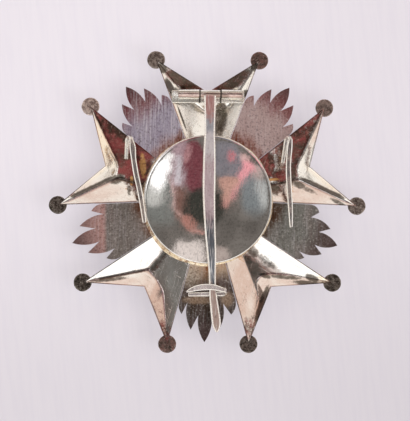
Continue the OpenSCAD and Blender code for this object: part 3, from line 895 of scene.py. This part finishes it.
dress("hinge_rod", DARK_METAL, 0.06)


def dome_z(r):
    return DOME_PEAK_Z - DOME_RADIUS + sqrt(DOME_RADIUS ** 2 - r * r)


def make_disc():
    profile = [(0, DOME_PEAK_Z)] + [(r, dome_z(r)) for r in (1, 2, 4, 6, 8, 10, 12, 14, 15.5, 16.6, 17.2)]
    profile += [(17.5, dome_z(17.5)), (17.8, 7.17)]
    roll_r, roll_z, roll = 17.86, 6.77, 0.4
    for k in range(1, 9):
        angle = radians(10 * k)
        profile.append((roll_r + roll * sin(angle), roll_z + roll * cos(angle)))
    profile += [(18.27, 6.62), (18.1, 6.44), (17.5, 6.44)]
    profile += [(COLLAR_R, COLLAR_TOP), (COLLAR_INNER_R, COLLAR_TOP)]
    profile += [(r, dome_z(r) - DISC_T) for r in (COLLAR_INNER_R, 14, 11, 8, 5, 2)]
    profile.append((0, DOME_PEAK_Z - DISC_T))
    points, faces = revolve(profile, 256)
    make_piece("domed_disc", points, faces, [DISC_METAL],
               stands_for=["back_disc"], sharp=50)


make_disc()


def make_solder_ring():
    """The fillet of solder between the collar and the arms and fans."""
    segments = 360
    fillet = ((0, 1), (0.22, 0.6), (0.5, 0.34), (0.8, 0.12), (1, 0), (0, -0.2))
    points = []
    for k in range(segments):
        angle = 2 * pi * k / segments
        c, s = cos(angle), sin(angle)
        low_left = max(0, cos(angle - radians(232)))
        width = (1.05 + 0.6 * low_left ** 2 + 0.2 * lumps(c * 30, s * 30, 6, 5)
                 + 0.06 * lumps(c * 30, s * 30, 1.5, 6))
        foot_r = COLLAR_R + 0.04 + max(0.4, width)
        foot_z = back_height(foot_r * c, foot_r * s)
        for share, rise in fillet:
            r = mix(COLLAR_R + 0.03, foot_r, share)
            z = mix(foot_z + 0.02, COLLAR_TOP - 0.12, rise) if rise > 0 else foot_z + 0.02 + rise
            points.append((r * c, r * s, z))
    faces = ring_faces(segments, len(fillet), closed=True)
    make_piece("solder_ring", points, faces, [SOLDER], sharp=60)


make_solder_ring()


def along_x(r, h, a):
    return (h, AXIS_Y + r * cos(a), AXIS_Z + r * sin(a))


def tube(left, right, outer_r):
    """A tube of the hinge with rounded ends."""
    edge = 0.14
    corner = ((edge, 0), (0.3 * edge, 0.3 * edge), (0, edge))
    profile = [(TUBE_BORE_R, left)] + [(outer_r - inset, left + along_edge) for inset, along_edge in corner]
    profile += [(outer_r - inset, right - along_edge) for inset, along_edge in reversed(corner)]
    profile.append((TUBE_BORE_R, right))
    return revolve(profile, 64, closed=True, place=along_x)


def rounded_plate(x0, x1, y0, y1, z0, z1, edge, corner):
    """A flat plate with round corners and soft edges."""
    points = []
    levels = ((edge, z0), (0, z0 + edge), (0, z1 - edge), (edge * 0.4, z1 - edge * 0.3), (edge, z1))
    for inset, z in levels:
        for cx, cy, first in ((x1, y1, 0), (x0, y1, 90), (x0, y0, 180), (x1, y0, 270)):
            sx, sy = (1 if cx == x1 else -1), (1 if cy == y1 else -1)
            for k in range(5):
                angle = radians(first + 22.5 * k)
                points.append((cx - sx * (inset + corner) + corner * cos(angle),
                               cy - sy * (inset + corner) + corner * sin(angle), z))
    count = len(points) // len(levels)
    faces = [tuple(reversed(range(count))), tuple(range(len(points) - count, len(points)))]
    return points, faces + ring_faces(len(levels), count)


# Left and right ends of the hinge's tubes
LEFT_TUBE, PIN_TUBE, RIGHT_TUBE = (-8.5, -2.45), (-2.3, 3.5), (3.65, 9.6)


def make_hinge():
    plate = rounded_plate(-10.3, 10.3, 27.4, 31, 6.05, 6.65, edge=0.14, corner=0.35)
    points, faces = joined([plate, tube(*LEFT_TUBE, TUBE_R), tube(*RIGHT_TUBE, TUBE_R)])
    make_piece("rolled_hinge", points, faces, [HINGE_METAL], stands_for=["hinge_plate"])
    points, faces = tube(*PIN_TUBE, PIN_TUBE_R)
    make_piece("rolled_pin_knuckle", points, faces, [HINGE_METAL], body="pin", stands_for=["pin_knuckle"])


make_hinge()

# Rows along the pin's blade: x, y, z, width, thickness
BLADE_T = 0.9
BLADE = [
    (0.5, 29.3, 8.78, 3.3, 0.4), (0.48, 28.6, 8.62, 3.3, 0.75), (0.45, 26, 8.68, 3.2, BLADE_T),
    (0.4, 19, 9.05, 2.9, BLADE_T), (0.3, 14, 9.3, 3.3, BLADE_T), (0.2, 7, 9.51, 3.5, BLADE_T),
    (0.15, 0, 9.59, 3.4, BLADE_T), (0.45, -8.5, 9.4, 3, BLADE_T), (0.75, -13, 9.05, 2.75, BLADE_T),
    (1, -17.5, 8.42, 2.35, BLADE_T), (1.15, -21.5, 7.45, 2.05, BLADE_T), (1.25, -24.6, 6.98, 2, BLADE_T),
    (1.5, -28, 6.9, 2.25, BLADE_T), (2.2, -33.8, 6.95, 2.6, BLADE_T), (2.4, -35.9, 6.95, 2.2, BLADE_T),
    (2.5, -37.5, 6.95, 0.7, 0.7),
]
ACROSS_X = Vector((1, 0, 0))
ACROSS_Y = Vector((0, 1, 0))
blade_points, blade_faces = strip(smooth_rows(BLADE, 8), ACROSS_X, 0.4, 0.36, end=0.08)
make_piece("pin_strip", blade_points, blade_faces, [PIN_METAL, EDGE_METAL], body="pin",
           stands_for=["pin_blade"], sharp=24, face_materials=edge_faces(blade_faces, (11,)))


def half_turn(start, end, out, width, thickness):
    """A half turn up from the lower limb to the upper one."""
    steps = 10
    radius = (end[2] - start[2]) / 2
    rows = []
    for k in range(steps + 1):
        angle = pi * k / steps
        p = mix_points(start[:2], end[:2], (1 - cos(angle)) / 2)
        rows.append((p[0] + out[0] * radius * sin(angle), p[1] + out[1] * radius * sin(angle),
                     start[2] + radius * (1 - cos(angle)), width, thickness))
    return rows


def hook(name, node, foot, limb, heights, out, across, thickness, bevel, core=CORE_METAL):
    """A hairpin hook: foot is (x, y, width) twice, limb the same along the free limb."""
    foot_zs, limb_z = heights
    rows = [(foot[0][0], foot[0][1], foot_zs[0], foot[0][2], thickness)]
    rows += half_turn((*foot[1][:2], foot_zs[1]), (*limb[0][:2], limb_z), out, foot[1][2], thickness)
    rows += [(x, y, limb_z, width, thickness) for x, y, width in limb[1:]]
    points, faces = strip(smooth_rows(rows, 4), across, *bevel)
    make_piece(name, points, faces, [core, EDGE_METAL], stands_for=[node], sharp=28,
               face_materials=edge_faces(faces))


def foot_z(x, y, number):
    px, py = turned((x, y), (1 - number) * ARM_STEP)
    return RIM_Z - trough(px, py, ARM_SHAPES[number - 1]) + HOOK_T / 2 + 0.1


hook("catch", "catch_hook",
     [(-5.4, -26.9, 1.1), (4, -26.7, 1.3)],
     [(4, -25.6, 1.5), (1.6, -24.95, 1.6), (-1, -24.85, 1.75), (-3.6, -25.25, 1.5), (-5.3, -25.85, 0.95),
      (-6, -26.15, 0.5)],
     ((6.05, 6.05), 8.1), (1, 0), ACROSS_Y, CATCH_T, (0.24, 0.2), CATCH_METAL)
LEFT_FOOT = [(-23.1, 11.6, 1.1), (-22.9, 16.4, 1.2)]
hook("left_side_hook", "side_hook_left", LEFT_FOOT,
     [(-21.7, 16.4, 1.9), (-21.35, 14.3, 1.8), (-21.1, 11.4, 1.5), (-20.45, 7.2, 1.5), (-19.5, 2.9, 1.45),
      (-18.75, -1.3, 1.35), (-18.15, -5.5, 1.2), (-18, -6.6, 1.05)],
     ([foot_z(x, y, 5) for x, y, _ in LEFT_FOOT], HOOK_Z), (0, 1), ACROSS_X, HOOK_T, (0.3, 0.26))
RIGHT_FOOT = [(21.3, 10.6, 1.1), (22.2, 16.6, 1.2)]
hook("right_side_hook", "side_hook_right", RIGHT_FOOT,
     [(23.25, 16.6, 1.7), (23, 14.3, 1.55), (22.65, 10, 1.45), (22.7, 5.8, 1.5), (22.95, 1.5, 1.5),
      (23.2, -2.7, 1.35), (23.35, -7, 1), (23.4, -7.8, 0.85)],
     ([foot_z(x, y, 2) for x, y, _ in RIGHT_FOOT], HOOK_Z), (0, 1), ACROSS_X, HOOK_T, (0.3, 0.26))


def make_floor():
    g = start_material("pale_surface")
    at = g.place()
    fibre = g.noise(g.place((0.7, 0.05, 1), -6), 1, 3, 0.6)
    base = g.blend(g.step(fibre, 0.35, 0.7), color(241, 236, 244), color(238, 233, 242))
    # Painted shade: the surface darkens towards -Y
    painted_falloff_y = g.step(g.split(at)["Y"], 25, -70, 0, 0.17)
    base = g.blend(painted_falloff_y, base, (0.1, 0.1, 0.1))
    # Painted shade: the surface darkens towards +X
    base = g.blend(g.step(g.split(at)["X"], -20, 60, 0, 0.09), base, (0.1, 0.08, 0.1))
    bump = g.bump(g.noise(at, 0.8, 3), 0.05, 0.2)
    # The surface also glows: painted light that lifts the shadows
    dimmed = g.blend(1, base, (0.45, 0.45, 0.45), "MULTIPLY")
    shader = g.add("ShaderNodeBsdfPrincipled", {},
                   {"Base Color": dimmed, "Roughness": 0.75, "Normal": bump, "Emission Color": base,
                    "Emission Strength": 0.51})
    g.add("ShaderNodeOutputMaterial", {}, {0: shader})
    mesh = bpy.data.meshes.new("floor")
    reach = 4
    corners = [(-reach, -reach, 0), (reach, -reach, 0), (reach, reach, 0), (-reach, reach, 0)]
    mesh.from_pydata(corners, [], [(0, 1, 2, 3)])
    mesh.materials.append(g.owner)
    floor = add_object("floor", mesh)


make_floor()

# Soft cards of the studio round the zenith, later ones in front. Each is a centre and a reach in
# the plane one unit above the star, a turn, its edge's softness and unevenness, and a colour.
CARDS = [
    (-0.255, 0.05, 0.1041, 0.1041, 0, 0.9, 0.05, (0.22, 0.23, 0.22)),
    (-0.285, 0.112, 0.05, 0.06, 0, 0.8, 0.03, (0.62, 0.62, 0.6)),
    (-0.136, 0.31, 0.0437, 0.177, -2, 0.25, 0.05, (0.46, 0.33, 0.37)),
    (-0.205, 0.345, 0.03, 0.04, -30, 0.3, 0.02, (1.25, 1.25, 1.25)),
    (-0.13, 0.263, 0.0146, 0.0885, -3, 0.5, 0.02, (0.75, 0.73, 0.79)),
    (-0.253, 0.235, 0.0541, 0.0958, -22, 0.08, 0.01, (1.6, 1.6, 1.62)),
    (-0.037, 0.295, 0.0604, 0.177, 0, 0.12, 0.06, (0.2, 0.06, 0.075)),
    (-0.077, 0.373, 0.0073, 0.0573, -8, 0.3, 0.03, (0.85, 0.5, 0.52)),
    (0.182, 0.341, 0.0833, 0.1249, 0, 0.3, 0.12, (0.25, 0.24, 0.27)),
    (0.349, 0.144, 0.0625, 0.1249, 10, 0.9, 0.04, (0.22, 0.245, 0.26)),
    (0.403, 0.12, 0.026, 0.0833, 12, 0.9, 0.02, (0.58, 0.6, 0.6)),
    (0.385, 0.262, 0.03, 0.045, -20, 0.4, 0.03, (0.5, 0.42, 0.4)),
    (0.209, 0.357, 0.0115, 0.0437, 0, 0.3, 0.03, (0.85, 0.26, 0.29)),
    (0.19, 0.177, 0.075, 0.0416, 0, 0.15, 0.06, (0.6, 0.35, 0.29)),
    (0.174, 0.1, 0.03, 0.0437, -14, 0.25, 0.05, (0.6, 0.35, 0.29)),
    (0.164, 0.045, 0.0125, 0.0354, -18, 0.25, 0.03, (0.7, 0.36, 0.32)),
    (0.305, 0.352, 0.035, 0.03, -20, 0.3, 0.03, (0.75, 0.5, 0.48)),
    (0.326, 0.295, 0.0458, 0.0271, -20, 0.15, 0.05, (0.95, 0.4, 0.45)),
    (0.297, 0.253, 0.0292, 0.0541, -36, 0.15, 0.05, (0.95, 0.4, 0.45)),
    (0.243, 0.144, 0.0083, 0.0729, -32, 0.3, 0.03, (0.9, 0.4, 0.42)),
    (-0.13, 0.06, 0.0375, 0.1041, 0, 0.15, 0.06, (0.22, 0.12, 0.1)),
    (0.024, 0.031, 0.1187, 0.1104, 0, 0.08, 0.05, (0.05, 0.05, 0.043)),
    (-0.169, 0.107, 0.0052, 0.0989, 2, 0.4, 0.03, (1, 0.7, 0.67)),
    (-0.134, -0.016, 0.0354, 0.0042, -35, 0.4, 0.02, (0.9, 0.6, 0.55)),
    (-0.064, -0.077, 0.0521, 0.0208, -42, 0.2, 0.08, (0.5, 0.24, 0.2)),
    (-0.01, -0.129, 0.0375, 0.0052, -8, 0.4, 0.04, (0.8, 0.4, 0.35)),
    (-0.068, -0.289, 0.0989, 0.0916, 0, 0.12, 0.1, (0.8, 0.72, 0.69)),
    (0.13, -0.304, 0.075, 0.0666, 0, 0.12, 0.1, (0.5, 0.42, 0.39)),
]


def make_world():
    world = bpy.data.worlds.new("studio")
    bpy.context.scene.world = world
    g = Graph(world)
    direction = g.add("ShaderNodeTexCoord", output=0)
    xyz = g.split(direction)
    height = g.math("MAXIMUM", xyz["Z"], 0.02)
    u = g.math("DIVIDE", xyz["X"], height)
    v = g.math("DIVIDE", xyz["Y"], height)
    wobble = g.noise(direction, 9, 3, 0.6)
    fine_wobble = g.noise(direction, 14, 3, 0.6)
    tone = g.blend(g.step(wobble, 0.35, 0.65), (0.13, 0.118, 0.108), (0.2, 0.182, 0.168))
    patchy = g.blend(g.step(wobble, 0.4, 0.6), (0.2, 0.2, 0.19), (0.32, 0.31, 0.3))
    tone = g.blend(g.step(u, -0.45, -0.65), tone, patchy)
    tone = g.blend(g.step(v, 0.5, 0.68), tone, (0.8, 0.64, 0.56))
    tone = g.blend(g.step(u, 0.5, 0.68), tone, (0.82, 0.68, 0.59))
    tone = g.blend(g.step(v, -0.35, -0.46), tone, (1.35, 1.34, 1.31))
    tone = g.blend(g.step(xyz["Z"], 0.66, 0.56), tone, (1, 0.95, 0.88))
    for cu, cv, reach_u, reach_v, turn, soft, uneven, shade in CARDS:
        du = g.plus(g.minus(u, cu), g.swing(wobble, uneven))
        dv = g.plus(g.minus(v, cv), g.swing(fine_wobble, uneven))
        c, s = cos(radians(turn)), sin(radians(turn))
        a = g.plus(g.times(du, c / reach_u), g.times(dv, s / reach_u))
        b = g.plus(g.times(dv, c / reach_v), g.times(du, -s / reach_v))
        away = g.plus(*(g.math("POWER", g.math("ABSOLUTE", side), 3) for side in (a, b)))
        tone = g.blend(g.step(away, 1 + soft * 3, 1 - soft), tone, shade)
    background = g.add("ShaderNodeBackground", {}, {0: tone, 1: 1})
    g.add("ShaderNodeOutputWorld", {}, {0: background})


make_world()


def soft_light(name, position, target, size, power, tint):
    """A large lamp that lights the surface and doesn't show in the metal."""
    lamp = bpy.data.lights.new(name, "AREA")
    lamp.shape = "DISK"
    lamp.size = size
    lamp.energy = power
    lamp.color = tint
    holder = add_object(name, lamp)
    holder.location = position
    holder.rotation_mode = "QUATERNION"
    holder.rotation_quaternion = (Vector(target) - Vector(position)).to_track_quat("-Z", "Y")
    holder.visible_glossy = False


soft_light("key", (0.78, -0.46, 0.6), (0, 0, 0), 0.45, 1.6, (1, 0.97, 1))
soft_light("fill", (0.6, -0.32, 1.15), (0, 0.03, 0), 1.6, 5.6, (1, 0.97, 1))


def make_camera():
    centre = Vector((-0.82, -3.14, RIM_Z)) * MM
    distance = 0.55
    frame_height = 119.1 * MM
    lean = radians(5)
    towards = Vector((-0.6 * sin(lean), -0.8 * sin(lean), cos(lean)))
    data = bpy.data.cameras.new("camera")
    data.sensor_width = 36
    data.lens = data.sensor_width * distance / frame_height
    camera = add_object("camera", data)
    forward = -towards
    right = forward.cross(Vector((0, 1, 0))).normalized()
    turn = Matrix((right, right.cross(forward), towards)).transposed()
    camera.matrix_world = Matrix.Translation(centre + towards * distance) @ turn.to_4x4()
    data.clip_start, data.clip_end = 0.05, 20
    bpy.context.scene.camera = camera


make_camera()
bpy.context.scene.view_settings.view_transform = "Standard"
